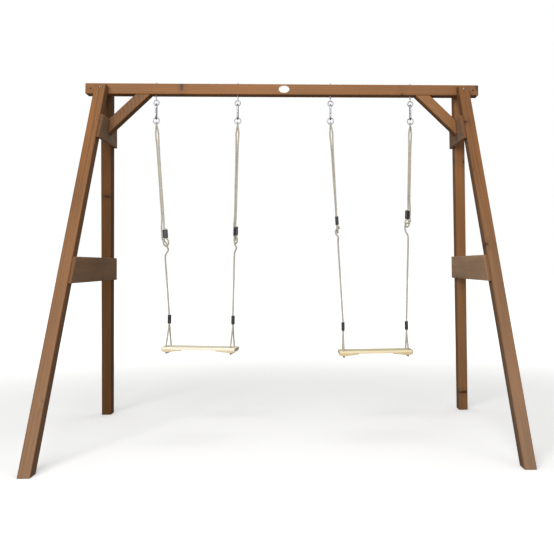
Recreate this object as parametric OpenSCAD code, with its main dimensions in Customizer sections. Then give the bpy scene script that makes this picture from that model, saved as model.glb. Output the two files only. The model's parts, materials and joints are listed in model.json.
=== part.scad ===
// Double swing set: a stained timber frame with a beam on two A-frames, and two
// board seats, each on a pair of adjustable ropes. Millimetres, +X along the beam,
// +Y to the back, +Z up, origin on the ground under the middle of the beam.

/* [Frame] */
// Height of the beam's top above the ground
frame_h = 2070; // [1800:10:2500]
// Length of the beam
beam_l = 2325; // [2260:5:2900]
// Length over the feet
foot_span = 2482; // [2300:2:3200]
// Depth over the feet
foot_depth = 1910; // [1500:10:2400]
// From each end of the beam to the leg beside it
beam_overhang = 75; // [40:5:120]
// How far the legs' tops stop below the beam's top
leg_drop = 18; // [0:1:30]

/* [Timber] */
// Width of a leg, seen from the front
leg_w = 62; // [50:1:80]
// Thickness of a leg, in the plane of its A-frame
leg_t = 90; // [70:1:110]
// Height of the beam's section
beam_h = 63; // [50:1:90]
// Depth of the beam's section
beam_t = 90; // [70:1:110]
// Width of a knee brace, seen from the front
brace_w = 60; // [45:1:75]
// Angle of a knee brace above the horizontal
brace_angle = 44; // [38:1:50]
// From the middle of the beam to where a brace's outer edge meets it
brace_x = 870; // [840:2:900]

/* [Cross boards] */
// Height of a cross board
board_h = 140; // [100:5:160]
// Thickness of a cross board
board_t = 18; // [15:1:25]
// Height of the lower cross board's bottom edge
low_board_z = 912; // [500:4:1200]
// Height of the upper cross board's bottom edge
high_board_z = 1725; // [1700:5:1760]
// How far a board's ends stop short of the legs' outer faces
board_set = 4; // [0:1:15]

/* [Hanging points] */
// From the middle of the beam to the middle of a swing
swing_x = 516; // [480:2:560]
// Distance between the two eye bolts of a swing
eye_spacing = 480; // [420:5:520]
// From the beam's underside to the middle of an eye
eye_drop = 45; // [40:1:70]
// Mean radius of an eye
eye_r = 15; // [13:0.5:18]
// Diameter of the wire of an eye
eye_wire = 7; // [6:0.5:9]
// Diameter of an eye bolt's shank
shank_d = 8; // [6:1:10]
// Length of shank that stands above the beam
shank_end = 14; // [10:1:20]

/* [Snap hooks and rings] */
// Overall length of a snap hook
hook_l = 98; // [90:1:120]
// Diameter of a snap hook's wire
hook_wire = 9; // [8:0.5:10]
// Radius of the hook's upper bend, to the middle of its wire
hook_top_r = 11; // [10:0.5:13]
// Radius of the hook's lower bend, to the middle of its wire
hook_low_r = 15; // [13:0.5:18]
// Diameter of the pin that a gate turns on
gate_pin_d = 2.5; // [2:0.1:3]
// Mean radius of a rope ring
ring_r = 18; // [15:0.5:25]
// Diameter of the wire of a rope ring
ring_wire = 6; // [5:0.5:7]

/* [Ropes] */
// Diameter of a rope
rope_d = 10; // [8:0.5:11]
// From a ring down to the top of its adjuster clamp, left swing outer and inner
adjust_left = [630, 615]; // [450:5:750]
// From a ring down to the top of its adjuster clamp, right swing outer and inner
adjust_right = [520, 555]; // [450:5:750]
// Length of a rope clamp
clamp_l = 49; // [40:1:60]
// Wall of a rope clamp
clamp_wall = 3.8; // [3:0.1:5]

/* [Seats] */
// Height of the left seat's top above the ground
seat_z_left = 525; // [350:1:600]
// Height of the right seat's top above the ground
seat_z_right = 497; // [350:1:600]
// How far the left seat hangs to the right of the middle of its eyes
hang_left = 26; // [0:1:40]
// How far the right seat hangs to the right of the middle of its eyes
hang_right = 19; // [0:1:40]
// Turn of the left seat about the vertical, in degrees
turn_left = -6.5; // [-10:0.5:10]
// Turn of the right seat about the vertical, in degrees
turn_right = 1; // [-10:0.5:10]
// Slope of the left seat, its right end down, in degrees
slope_left = 0.9; // [-3:0.1:3]
// Slope of the right seat, its right end down, in degrees
slope_right = -0.4; // [-3:0.1:3]
// Length of a seat
seat_l = 435; // [400:5:500]
// Depth of a seat, front to back
seat_t = 146; // [140:2:200]
// Thickness of a seat board
seat_h = 15; // [12:1:22]
// Thickness of a seat batten at the rope
batten_h = 13; // [10:1:18]
// Length of a seat batten along the seat
batten_l = 112; // [90:2:130]
// From a seat's end to its rope holes
seat_hole_in = 29; // [26:1:50]
// Distance between the front and back rope holes
seat_hole_gap = 120; // [100:2:130]
// From the left seat's top to the point where its ropes bend
bend_left = 178; // [150:2:220]
// From the right seat's top to the point where its ropes bend
bend_right = 160; // [150:2:220]

/* [Fasteners] */
// Diameter of the bolts that join the legs and the beam
leg_bolt_d = 8; // [6:1:10]
// From the beam's top down to those bolts
bolt_down = 40; // [35:1:45]
// Diameter of the wood screws
screw_d = 4; // [3.5:0.5:5]
// Length of the wood screws in the cross boards
screw_l = 50; // [40:5:60]
// Length of the wood screws in the knee braces' tops
long_screw_l = 95; // [85:5:100]

/* [Hidden] */
$fn = 48;

stained = "#8f6540";
stained_dark = "#7d5638";
zinc = "#c0c4ca";
pine = "#e9d9a0";
rope_grey = "#b5aea2";
black = "#2a2627";

over = 30;        // how far a cutting shape runs past what it cuts
touch = 0.3;      // room between a loop and the loop that hangs in it
hole_room = 0.2;  // radial room of a bolt or screw in its hole
left = -1;
right = 1;
front = -1;
back = 1;
outer = 1;
inner = -1;

// The A-frames lean inwards, and their legs splay to front and back.
beam_z = frame_h - beam_h;
bolt_z = frame_h - bolt_down;
lean = atan((foot_span / 2 - beam_l / 2 + beam_overhang) / frame_h);
foot_x = foot_span / 2 - leg_w / 2 / cos(lean);
splay_reach = norm([beam_z, foot_depth / 2 - beam_t / 2]);
splay = acos(leg_t / splay_reach) - atan2(beam_z, foot_depth / 2 - beam_t / 2);

function leg_x(z) = foot_x - z * tan(lean);
function leg_in_y(z) = beam_t / 2 + (beam_z - z) * tan(splay);
function leg_out_y(z) = leg_in_y(z) + leg_t / cos(splay);
function leg_mid_y(z) = leg_in_y(z) + leg_t / 2 / cos(splay);
function board_face_x(z) = leg_x(z) - (leg_w / 2 + board_t) / cos(lean);

// The plane of one A-frame: its own Z runs up the leaning frame.
module in_frame(side) {
  translate([side * foot_x, 0, 0]) rotate([0, -side * lean, 0]) children();
}

// An outline of [y, z] points as a slab that stands across X.
module upright(thickness) {
  rotate([90, 0, 90]) linear_extrude(thickness, center = true) children();
}

function up(z) = z / cos(lean);

// ---- wood screws and bolts ----

screw_head_d = 2 * screw_d;
board_screw_edge = 35;  // from a cross board's middle to its screws

// A countersunk screw with its head flush at the origin, pointing up.
module screw(length) {
  cylinder(d = screw_d, h = length - screw_d);
  translate([0, 0, length - screw_d]) cylinder(d1 = screw_d, d2 = 1, h = screw_d);
  cylinder(d1 = screw_head_d, d2 = screw_d, h = screw_d / 2 + 0.6);
}

// The hole that a screw sits in.
module screw_hole(length) {
  translate([0, 0, -over]) cylinder(d = screw_head_d + 2 * hole_room, h = over + 0.1);
  cylinder(d1 = screw_head_d + 2 * hole_room, d2 = screw_d + 2 * hole_room,
           h = screw_d / 2 + 0.8);
  cylinder(d = screw_d + 2 * hole_room, h = length + 1);
}

// Places of the cross boards' screws on one side, as [y, z].
function board_screw_places(z0) = [
  for (end = [front, back]) for (dz = [-1, 1])
    let (z = z0 + board_h / 2 + dz * board_screw_edge) [end * leg_mid_y(z), z]
];

module at_board_screws(side, z0) {
  in_frame(side) for (p = board_screw_places(z0))
    translate([-side * (leg_w / 2 + board_t), p[0], up(p[1])])
      rotate([0, side * 90, 0]) children();
}

module crossboard_screws() {
  color(zinc) for (side = [left, right]) for (z0 = [low_board_z, high_board_z])
    at_board_screws(side, z0) screw(screw_l);
}

bolt_head_d = 15;
bolt_head_h = 4.5;
bolt_seat_room = 1;     // radial room round a head or washer in its counterbore
bolt_seat_in = 3.5;     // depth of the counterbore on the bolt's axis
nut_h = 6.5;
nut_af = 13;
washer_d = 20;
washer_h = 1.6;
bolt_seat_y = leg_out_y(bolt_z) - bolt_seat_in;

// A domed bolt from the front leg to the nut in the back leg.
module leg_bolt(side) {
  color(zinc) translate([side * leg_x(bolt_z), -bolt_seat_y, bolt_z]) rotate([-90, 0, 0]) {
    cylinder(d = leg_bolt_d, h = 2 * bolt_seat_y + bolt_seat_in);
    rotate_extrude() intersection() {
      translate([0, bolt_head_d / 2 - bolt_head_h + 0.5]) circle(d = bolt_head_d + 1);
      translate([0, -bolt_head_h]) square([bolt_head_d / 2, bolt_head_h]);
    }
  }
}

module hex_nut(across_flats, height, bore_d) {
  difference() {
    cylinder(d = across_flats / cos(30), h = height, $fn = 6);
    translate([0, 0, -1]) cylinder(d = bore_d + 2 * hole_room, h = height + 2);
  }
}

module washer(outside_d, height, bore_d) {
  difference() {
    cylinder(d = outside_d, h = height);
    translate([0, 0, -1]) cylinder(d = bore_d + 2 * hole_room, h = height + 2);
  }
}

module leg_nut(side) {
  color(zinc) translate([side * leg_x(bolt_z), bolt_seat_y, bolt_z]) rotate([-90, 0, 0]) {
    washer(washer_d, washer_h, leg_bolt_d);
    translate([0, 0, washer_h]) hex_nut(nut_af, nut_h - 2, leg_bolt_d);
  }
}

module leg_bolt_hole(side) {
  translate([side * leg_x(bolt_z), 0, bolt_z]) rotate([90, 0, 0])
    cylinder(d = leg_bolt_d + 2 * hole_room, h = foot_depth, center = true);
}

// ---- legs, boards and braces ----

module leg(side, end) {
  foot = [[leg_in_y(-over), up(-over)], [leg_out_y(-over), up(-over)]];
  head = [[leg_out_y(frame_h + over), up(frame_h + over)],
          [beam_t / 2, up(frame_h + over)], [beam_t / 2, up(beam_z)]];
  color(stained) difference() {
    intersection() {
      in_frame(side) upright(leg_w)
        polygon([for (p = concat(foot, head)) [end * p[0], p[1]]]);
      translate([-foot_span, -foot_depth, 0])
        cube([2 * foot_span, 2 * foot_depth, frame_h - leg_drop]);
    }
    leg_bolt_hole(side);
    translate([side * leg_x(bolt_z), end * bolt_seat_y, bolt_z])
      rotate([-end * 90, 0, 0])
        cylinder(d = (end == front ? bolt_head_d : washer_d) + 2 * bolt_seat_room, h = over);
    for (z0 = [low_board_z, high_board_z]) at_board_screws(side, z0)
      cylinder(d = screw_d + 2 * hole_room, h = screw_l + 1);
  }
}

module crossboard(side, z0) {
  z1 = z0 + board_h;
  y0 = leg_out_y(z0) - board_set;
  y1 = leg_out_y(z1) - board_set;
  color(stained) difference() {
    in_frame(side) translate([-side * (leg_w + board_t) / 2, 0, 0]) upright(board_t)
      polygon([[-y0, up(z0)], [y0, up(z0)], [y1, up(z1)], [-y1, up(z1)]]);
    at_board_screws(side, z0) screw_hole(screw_l);
    at_brace_foot_screws(side) screw_hole(screw_l);
  }
}

brace_foot_room = 0.02; // between a brace's foot and the board it stands against

// A brace's edge leaves the beam at x and runs out and down to the cross board.
function brace_run(x) =
  (board_face_x(beam_z) - brace_foot_room - x)
    / (cos(brace_angle) - sin(brace_angle) * tan(lean));
function brace_foot(x) =
  [x + brace_run(x) * cos(brace_angle), beam_z - brace_run(x) * sin(brace_angle)];
brace_in_x = brace_x - brace_w / sin(brace_angle);
brace_top_x = (brace_x + brace_in_x) / 2;
brace_foot_z = (brace_foot(brace_x)[1] + brace_foot(brace_in_x)[1]) / 2;
brace_screw_y = 22;     // from the middle of a brace to its screws

module knee_brace(side) {
  outline = [[brace_in_x, beam_z], [brace_x, beam_z],
             brace_foot(brace_x), brace_foot(brace_in_x)];
  color(stained) difference() {
    rotate([90, 0, 0]) linear_extrude(beam_t, center = true)
      polygon([for (p = outline) [side * p[0], p[1]]]);
    at_brace_top_screws(side) screw_hole(long_screw_l);
    at_brace_foot_screws(side) screw_hole(screw_l);
  }
}

// Screws down through the beam into the top of a brace.
module at_brace_top_screws(side) {
  for (y = [-brace_screw_y, brace_screw_y])
    translate([side * brace_top_x, y, frame_h]) rotate([180, 0, 0]) children();
}

// Screws through the upper cross board into the foot of a brace.
module at_brace_foot_screws(side) {
  in_frame(side) for (y = [-brace_screw_y, brace_screw_y])
    translate([-side * leg_w / 2, y, up(brace_foot_z)]) rotate([0, -side * 90, 0]) children();
}

module knee_brace_screws() {
  color(zinc) for (side = [left, right]) {
    at_brace_top_screws(side) screw(long_screw_l);
    at_brace_foot_screws(side) screw(screw_l);
  }
}

nut_seat_d = 22;        // counterbore in the beam's top for an eye bolt's nut
nut_seat_in = 9;

module top_beam() {
  color(stained) difference() {
    translate([-beam_l / 2, -beam_t / 2, beam_z]) cube([beam_l, beam_t, beam_h]);
    for (side = [left, right]) {
      leg_bolt_hole(side);
      at_brace_top_screws(side) screw_hole(long_screw_l);
      for (place = [inner, outer]) translate([eye_x(side, place), 0, beam_z]) {
        translate([0, 0, -over])
          cylinder(d = shank_d + 2 * hole_room, h = beam_h + 2 * over);
        translate([0, 0, beam_h - nut_seat_in]) cylinder(d = nut_seat_d, h = over);
      }
    }
    badge_pin_places() cylinder(d = badge_pin_d + 2 * hole_room, h = badge_pin_l + 0.5);
  }
}

// ---- oval badge, left blank ----

badge_w = 63;
badge_h = 43;
badge_t = 2.5;
badge_pin_d = 2;
badge_pin_l = 12;
badge_pin_x = 24;
badge_z = beam_z + beam_h / 2;

module badge_plate() {
  color("#eeebe4") translate([0, -beam_t / 2, badge_z]) rotate([90, 0, 0]) difference() {
    linear_extrude(badge_t)
      polygon([for (a = [0 : 7.5 : 359]) [badge_w / 2 * cos(a), badge_h / 2 * sin(a)]]);
    for (x = [-badge_pin_x, badge_pin_x]) translate([x, 0, -1])
      cylinder(d = badge_pin_d + 2 * hole_room, h = badge_t + 2);
  }
}

module badge_pin_places() {
  for (x = [-badge_pin_x, badge_pin_x])
    translate([x, -beam_t / 2, badge_z]) rotate([-90, 0, 0]) children();
}

module badge_pins() {
  color(zinc) badge_pin_places() {
    translate([0, 0, -badge_t]) cylinder(d = badge_pin_d, h = badge_pin_l + badge_t);
    translate([0, 0, -badge_t - 1]) cylinder(d = 2 * badge_pin_d, h = 1);
  }
}

// ---- eye bolts ----

function eye_x(side, place) = side * (swing_x + place * eye_spacing / 2);
eye_z = beam_z - eye_drop;
eye_low_z = eye_z - eye_r;      // middle of the wire that carries the hook

module torus(mean_r, wire_d) {
  rotate([90, 0, 0]) rotate_extrude() translate([mean_r, 0]) circle(d = wire_d);
}

module eye_bolt(side, place) {
  color(zinc) translate([eye_x(side, place), 0, 0]) {
    translate([0, 0, eye_z]) torus(eye_r, eye_wire);
    translate([0, 0, eye_z + eye_r])
      cylinder(d = shank_d, h = frame_h + shank_end - eye_z - eye_r);
  }
}

module at_eyes() {
  for (side = [left, right]) for (place = [inner, outer])
    translate([eye_x(side, place), 0, 0]) children();
}

module eye_bolt_nuts() {
  color(zinc) at_eyes() translate([0, 0, frame_h - nut_seat_in + washer_h])
    hex_nut(nut_af, nut_h, shank_d);
}

module eye_bolt_washers() {
  color(zinc) at_eyes() {
    translate([0, 0, frame_h - nut_seat_in]) washer(washer_d, washer_h, shank_d);
    translate([0, 0, beam_z - washer_h]) washer(washer_d, washer_h, shank_d);
  }
}

// ---- snap hooks: drawn in the plane of Y and Z, with the origin at the middle of
// the wire at the top of the upper bend, and hung in the eye ----

hook_z = eye_low_z + eye_wire / 2 + hook_wire / 2 + touch;
hook_run = hook_l - hook_wire;                       // bend to bend, along the middle
hook_bends = hook_run - hook_top_r - hook_low_r;     // from one bend's centre to the other's
hook_slant = asin((hook_low_r - hook_top_r) / hook_bends);
hook_side = hook_bends * cos(hook_slant);            // length of a straight side
gate_hinge = 14;        // from the lower bend to the gate's pin, along the side
nose_l = 8;             // from the upper bend to the end of the nose
tongue_t = 3.4;         // thickness of the tongues that the gate's slots pass
slot_room = 0.3;        // room beside a tongue in its slot
nose_tongue_l = 6;

// From the lower end of a straight side, with Z up that side.
module along_side(end) {
  translate([0, 0, -hook_run + hook_low_r]) rotate([end * hook_slant, 0, 0])
    translate([0, end * hook_low_r, 0]) children();
}

// A bend is an arc that opens symmetrically about the Z axis.
module hook_bend(radius, half_angle) {
  rotate([90, 0, 90]) rotate([0, 0, 90 - half_angle])
    rotate_extrude(angle = 2 * half_angle) translate([radius, 0]) circle(d = hook_wire);
}

module snap_hook_shape() {
  translate([0, 0, -hook_top_r]) hook_bend(hook_top_r, 90 - hook_slant);
  translate([0, 0, -hook_run + hook_low_r]) mirror([0, 0, 1])
    hook_bend(hook_low_r, 90 + hook_slant);
  along_side(back) cylinder(d = hook_wire, h = hook_side);
  // Cores that cross from the straight lengths into the bends.
  for (side = [front, back]) for (z = [-2, hook_side - 2])
    along_side(side) translate([0, 0, z]) cylinder(d = hook_wire - 1, h = 4);
  along_side(front) {
    difference() {
      union() {
        cylinder(d = hook_wire, h = gate_hinge - hook_wire / 2 - 0.4);
        translate([-tongue_t / 2, -3.5, 1]) cube([tongue_t, 7, gate_hinge - 1]);
        translate([0, 0, gate_hinge]) rotate([0, 90, 0])
          cylinder(d = 7, h = tongue_t, center = true);
      }
      translate([0, 0, gate_hinge]) rotate([0, 90, 0])
        cylinder(d = gate_pin_d + 0.12, h = hook_wire, center = true);
    }
    translate([0, 0, hook_side - nose_l]) cylinder(d = hook_wire, h = nose_l);
    translate([-tongue_t / 2, -3, hook_side - nose_l - nose_tongue_l])
      cube([tongue_t, 6, nose_tongue_l + 1]);
  }
}

module at_hook(side, place) {
  translate([eye_x(side, place), 0, hook_z]) children();
}

module snap_hook(side, place) {
  color(zinc) at_hook(side, place) snap_hook_shape();
}

// The gate and the pin that it turns on.
module snap_gate(side, place) {
  gate_l = hook_side - nose_l - gate_hinge - 0.5;
  slot_w = tongue_t + 2 * slot_room;
  color(zinc) at_hook(side, place) along_side(front) translate([0, 0, gate_hinge]) {
    difference() {
      union() {
        sphere(d = hook_wire);
        cylinder(d = hook_wire, h = gate_l);
      }
      translate([-slot_w / 2, -hook_wire, -hook_wire]) cube([slot_w, 2 * hook_wire, hook_wire + 4]);
      translate([-slot_w / 2, -hook_wire, gate_l - nose_tongue_l - 0.3])
        cube([slot_w, 2 * hook_wire, nose_tongue_l + 1]);
      rotate([0, 90, 0]) cylinder(d = gate_pin_d, h = 2 * hook_wire, center = true);
    }
    rotate([0, 90, 0]) cylinder(d = gate_pin_d, h = hook_wire - 0.6, center = true);
  }
}

// ---- rings and ropes ----

ring_top_z = hook_z - hook_run + hook_wire / 2 + ring_wire / 2 + touch;
ring_z = ring_top_z - ring_r;

module ring(side, place) {
  color(zinc) translate([eye_x(side, place), 0, ring_z]) torus(ring_r, ring_wire);
}

function of_side(side, pair) = side == left ? pair[0] : pair[1];
function bend_h(side) = of_side(side, [bend_left, bend_right]);
function seat_turn(side) = of_side(side, [turn_left, turn_right]);
function seat_slope(side) = of_side(side, [slope_left, slope_right]);
function seat_middle(side) =
  [side * swing_x + of_side(side, [hang_left, hang_right]), 0,
   of_side(side, [seat_z_left, seat_z_right])];

// Where a point [x, 0, z] of a seat's own frame lies once the seat slopes and turns.
function seat_point(side, x, z) = let (
    t = seat_turn(side), s = seat_slope(side), along = x * cos(s) + z * sin(s)
  ) seat_middle(side) + [along * cos(t), along * sin(t), z * cos(s) - x * sin(s)];
function bend_point(side, place) =
  seat_point(side, side * place * (seat_l / 2 - seat_hole_in), bend_h(side));

// A rope hangs from its ring towards the seat, which is a little narrower: it leans
// along the beam about the ring's middle, and across the beam about the ring's wire.
function rope_lean(side, place) = let (p = bend_point(side, place))
  atan((eye_x(side, place) - p[0]) / (ring_z - p[2]));
function rope_drop(side, place) = let (p = bend_point(side, place))
  norm([eye_x(side, place) - p[0], ring_z - p[2]]) - ring_r;
function rope_tip(side, place) = atan(bend_point(side, place)[1] / rope_drop(side, place));
function rope_length(side, place) =
  norm([bend_point(side, place)[1], rope_drop(side, place)]);
function adjust_drop(side, place) =
  of_side(side, [adjust_left, adjust_right])[place == outer ? 0 : 1];

// The way the two strands lie side by side, by the drop below the ring:
// the angle from +X to the strand that ends in the adjuster clamp.
function strand_turns(side, place) =
  side == left
    ? (place == outer ? [[0, -90], [60, -10], [170, 0], [630, 0]]
                      : [[0, -90], [60, -20], [300, -30], [600, -50]])
    : (place == outer ? [[0, -90], [60, -160], [300, -170], [500, -150]]
                      : [[0, -90], [60, -20], [300, -50], [540, -85]]);

rope_r = rope_d / 2;
over_ring = rope_r + ring_wire / 2 + touch;   // rope's middle to the wire's middle
strand_gap = rope_d + 1;                      // between two ropes in one clamp
clamp_in_r = rope_r + 0.2;
clamp_out_r = clamp_in_r + clamp_wall;
clamp_u = 9;                                  // clamp's middle, off the rope's line
hold_u = clamp_u - strand_gap / 2;            // the strand that the clamp holds
tail_u = clamp_u + strand_gap / 2;            // the rope's cut end in the clamp
pass_u = clamp_u - strand_gap / 2 - clamp_out_r - rope_r - 0.6;  // the strand beside it

// How far each strand lies from the rope's line, by the drop below the ring.
function strand_out(drop, top, at_clamp) = lookup(drop, [
  [0, over_ring], [60, over_ring + 0.2], [120, 6.2], [180, rope_r + 0.3],
  [top - 70, rope_r + 0.3], [top - 12, at_clamp]
]);
drops = [12, 26, 42, 60, 90, 120, 150, 180, 260, 340, 420];   // where both are drawn

// The rope below the clamp: through the eye of the rope's own end, out in front of
// it, and back to its line. [across, towards the back, below the clamp]
hitch = [
  [pass_u + 0.5, 4, 6], [pass_u + 3, 9, 12], [pass_u + 7, 12.5, 16], [1, 12, 18.5],
  [4.8, 6, 22], [8, 0, 25.5], [11, -7, 29], [13, -12, 35], [15, -12.5, 45],
  [16, -11, 54], [19, -6, 62], [20, -1, 70], [16, 0, 79], [8, 0, 90], [2, 0, 100], [0, 0, 110]
];

// The eye that the clamp makes in the rope's end: [across, below the clamp].
end_eye = [
  [hold_u - 0.6, 4], [-2, 11], [-5, 20], [-5, 31], [-0.5, 42], [9, 48],
  [18.5, 42], [23, 31], [23, 20], [20, 11], [tail_u + 0.6, 4]
];

function at_turn(across, behind, drop, turn) =
  [across * cos(turn) - behind * sin(turn), across * sin(turn) + behind * cos(turn), -drop];

// The whole rope from where it bends at the seat's clamp to its own cut end.
function rope_route(side, place) = let (
    turns = strand_turns(side, place),
    top = adjust_drop(side, place),
    low = top + clamp_l,
    turn = lookup(top, turns),
    length = rope_length(side, place),
    shown = [for (d = concat(drops, [top - 70, top - 40, top - 12])) if (d <= top - 12) d],
    count = len(shown)
  ) concat(
    [[0, 0, -length - 0.94 * rope_r], [0, 0, -length - 0.5 * rope_r], [0, 0, -length],
     [0, 0, -(length + low + 110) / 2]],
    [for (i = [len(hitch) - 1 : -1 : 0])
      at_turn(hitch[i][0], hitch[i][1], low + hitch[i][2], turn)],
    [at_turn(pass_u, 0, low - 4, turn), at_turn(pass_u, 0, top + 4, turn)],
    [for (i = [count - 1 : -1 : 0]) let (d = shown[i])
      at_turn(-strand_out(d, top, -pass_u), 0, d, lookup(d, turns))],
    [for (a = [0 : 22.5 : 180]) [0, over_ring * cos(a), over_ring * sin(a)]],
    [for (d = shown) at_turn(strand_out(d, top, hold_u), 0, d, lookup(d, turns))],
    [at_turn(hold_u, 0, top, turn), at_turn(hold_u, 0, low, turn)],
    [for (p = end_eye) at_turn(p[0], 0, low + p[1], turn)],
    [at_turn(tail_u, 0, low, turn), at_turn(tail_u, 0, top - 6, turn)]
  );

function unit(v) = v / norm(v);
function headings(p) =
  [for (i = [0 : len(p) - 1]) unit(p[min(i + 1, len(p) - 1)] - p[max(i - 1, 0)])];
function carried(t, n, i = 0) =
  i == len(t) ? []
  : let (m = unit(n - (n * t[i]) * t[i])) concat([m], carried(t, m, i + 1));

// A tube along a route, one ring of corners at each of its points.
module tube(route, radii, start, sides = 8) {
  t = headings(route);
  n = carried(t, start);
  last = len(route) - 1;
  corners = [for (i = [0 : last]) for (k = [0 : sides - 1]) let (a = 360 * k / sides)
    route[i] + radii[i] * (cos(a) * n[i] + sin(a) * cross(t[i], n[i]))];
  walls = [for (i = [0 : last - 1]) for (k = [0 : sides - 1])
    let (a = i * sides + k, b = i * sides + (k + 1) % sides)
    each [[a, a + sides, b], [b, a + sides, b + sides]]];
  near = [[for (k = [0 : sides - 1]) k]];
  far = [[for (k = [sides - 1 : -1 : 0]) last * sides + k]];
  polyhedron(points = corners, faces = concat(near, walls, far));
}

// Places its children in a rope's own frame: origin on the ring's lower wire.
module at_rope(side, place) {
  translate([eye_x(side, place), 0, ring_z]) rotate([0, rope_lean(side, place), 0])
    translate([0, 0, -ring_r]) rotate([rope_tip(side, place), 0, 0]) children();
}

module rope(side, place) {
  route = rope_route(side, place);
  radii = [for (i = [0 : len(route) - 1])
    i == 0 ? 0.3 * rope_r : i == 1 ? 0.86 * rope_r : rope_r];
  color(rope_grey) at_rope(side, place) tube(route, radii, [1, 0, 0]);
}

// Two half rounds and a block between them.
module obround(gap, radius, length) {
  for (u = [0, gap]) translate([u, 0, 0]) cylinder(r = radius, h = length);
  translate([0, -radius, 0]) cube([gap, 2 * radius, length]);
}

rib_t = 2.4;
rib_out = 0.8;

// A ribbed clamp around two ropes that lie gap apart, from its lower face up.
module clamp_shape() {
  difference() {
    union() {
      obround(strand_gap, clamp_out_r, clamp_l);
      for (i = [0 : 4]) translate([0, 0, i * (clamp_l - rib_t) / 4])
        obround(strand_gap, clamp_out_r + rib_out, rib_t);
    }
    translate([0, 0, -1]) obround(strand_gap, clamp_in_r, clamp_l + 2);
  }
}

module adjuster(side, place) {
  top = adjust_drop(side, place);
  color(black) at_rope(side, place) rotate([0, 0, lookup(top, strand_turns(side, place))])
    translate([hold_u, 0, -top - clamp_l]) difference() {
      clamp_shape();
      translate([pass_u - hold_u, 0, -1]) cylinder(r = rope_r + touch, h = clamp_l + 2);
    }
}

// ---- seats: each rope runs from its clamp through the seat and back ----

mouth = 4;          // how far the bending point lies below the clamp's top
mouth_in = 2;       // how far the mouth's cone starts below the bending point
flex = 22;          // how far the rope can tip in the clamp's mouth
seat_hole_d = rope_d + 4;
under_z = -(seat_h + batten_h + rope_r + 0.5);
half_gap = seat_hole_gap / 2;

// From the clamp down through the front hole: [forward, above the seat's top].
function strand_down(bend_h) = [
  [0, bend_h - rope_r - 0.6], [0, bend_h + mouth - clamp_l], [1.5, bend_h - clamp_l - 6],
  [6, bend_h - clamp_l - 18], [half_gap - 11, 20], [half_gap - 4, 8.5],
  [half_gap - 0.8, 1], [half_gap, -8], [half_gap, -seat_h - batten_h + 2],
  [half_gap - 1.5, under_z + 1.6], [half_gap - 6, under_z - 0.8], [half_gap - 14, under_z]
];
tail_stop = 3;      // the cut end stops this far below the bending point

function loop_route(bend_h) = let (down = strand_down(bend_h)) concat(
  [for (p = down) [0, -p[0], p[1]]],
  [[0, 0, under_z]],
  [for (i = [len(down) - 1 : -1 : 2]) let (p = down[i])
    [0, p[0] + (p[1] > bend_h - clamp_l - 20 ? strand_gap - p[0] * 0.4
      : p[1] > 15 ? 1 : 0), p[1]]],
  [[0, strand_gap, bend_h + mouth - clamp_l], [0, strand_gap, bend_h - tail_stop]]
);

module at_seat(side) {
  translate(seat_middle(side)) rotate([0, seat_slope(side), seat_turn(side)]) children();
}

module at_rope_holes(side, place) {
  at_seat(side) translate([side * place * (seat_l / 2 - seat_hole_in), 0, 0]) children();
}

module rope_loop(side, place) {
  route = loop_route(bend_h(side));
  radii = [for (p = route) rope_r];
  color(rope_grey) at_rope_holes(side, place) tube(route, radii, [1, 0, 0]);
}

module rope_clamp(side, place) {
  color(black) at_rope_holes(side, place) difference() {
    translate([0, 0, bend_h(side) + mouth - clamp_l]) rotate([0, 0, 90]) clamp_shape();
    translate([0, 0, bend_h(side)]) {
      sphere(r = rope_r + touch);
      translate([0, 0, -mouth_in]) cylinder(r1 = rope_r + touch, h = mouth + mouth_in + 1,
        r2 = rope_r + touch + (mouth + mouth_in + 1) * tan(flex));
    }
  }
}

corner_r = 14;      // rounding of a seat's corners, seen from above

module rounded_plan(length, depth, radius) {
  square([length - 2 * radius, depth], center = true);
  square([length, depth - 2 * radius], center = true);
  for (x = [-1, 1]) for (y = [-1, 1])
    translate([x * (length / 2 - radius), y * (depth / 2 - radius)]) circle(r = radius);
}

module seat_rope_bores(side) {
  for (place = [inner, outer]) for (y = [-half_gap, half_gap])
    at_rope_holes(side, place) translate([0, y, -seat_h - batten_h - over])
      cylinder(d = seat_hole_d, h = seat_h + batten_h + 2 * over);
}

module seat(side) {
  color(pine) difference() {
    at_seat(side) translate([0, 0, -seat_h]) linear_extrude(seat_h)
      rounded_plan(seat_l, seat_t, corner_r);
    seat_rope_bores(side);
    at_seat_screws(side) screw_hole(seat_screw_l);
  }
}

batten_end = 4;     // from the seat's end to the batten
batten_thin = 5;    // thickness of the batten's inner end
batten_lip = 9;     // thickness of the batten's outer end

// Each batten is thickest where the rope crosses it, and thins towards its ends.
module seat_battens(side) {
  outline = [[0, 0], [0, -batten_lip], [seat_hole_in - batten_end - 10, -batten_h],
             [seat_hole_in - batten_end + 10, -batten_h], [batten_l, -batten_thin],
             [batten_l, 0]];
  color(pine) difference() {
    at_seat(side) for (end = [left, right]) translate([0, 0, -seat_h]) rotate([90, 0, 0])
      linear_extrude(seat_t - 2 * batten_end, center = true)
        polygon([for (p = outline) [end * (seat_l / 2 - batten_end - p[0]), p[1]]]);
    seat_rope_bores(side);
    at_seat_screws(side) screw_hole(seat_screw_l);
  }
}

seat_screw_l = 18;
seat_screw_x = 76;  // from the seat's end to its screws
seat_screw_y = 45;

module at_seat_screws(side) {
  at_seat(side) for (end = [left, right]) for (y = [-seat_screw_y, seat_screw_y])
    translate([end * (seat_l / 2 - seat_screw_x), y, 0]) rotate([180, 0, 0]) children();
}

module seat_screws(side) {
  color(zinc) at_seat_screws(side) screw(seat_screw_l);
}

// ---- the nodes ----

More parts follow.
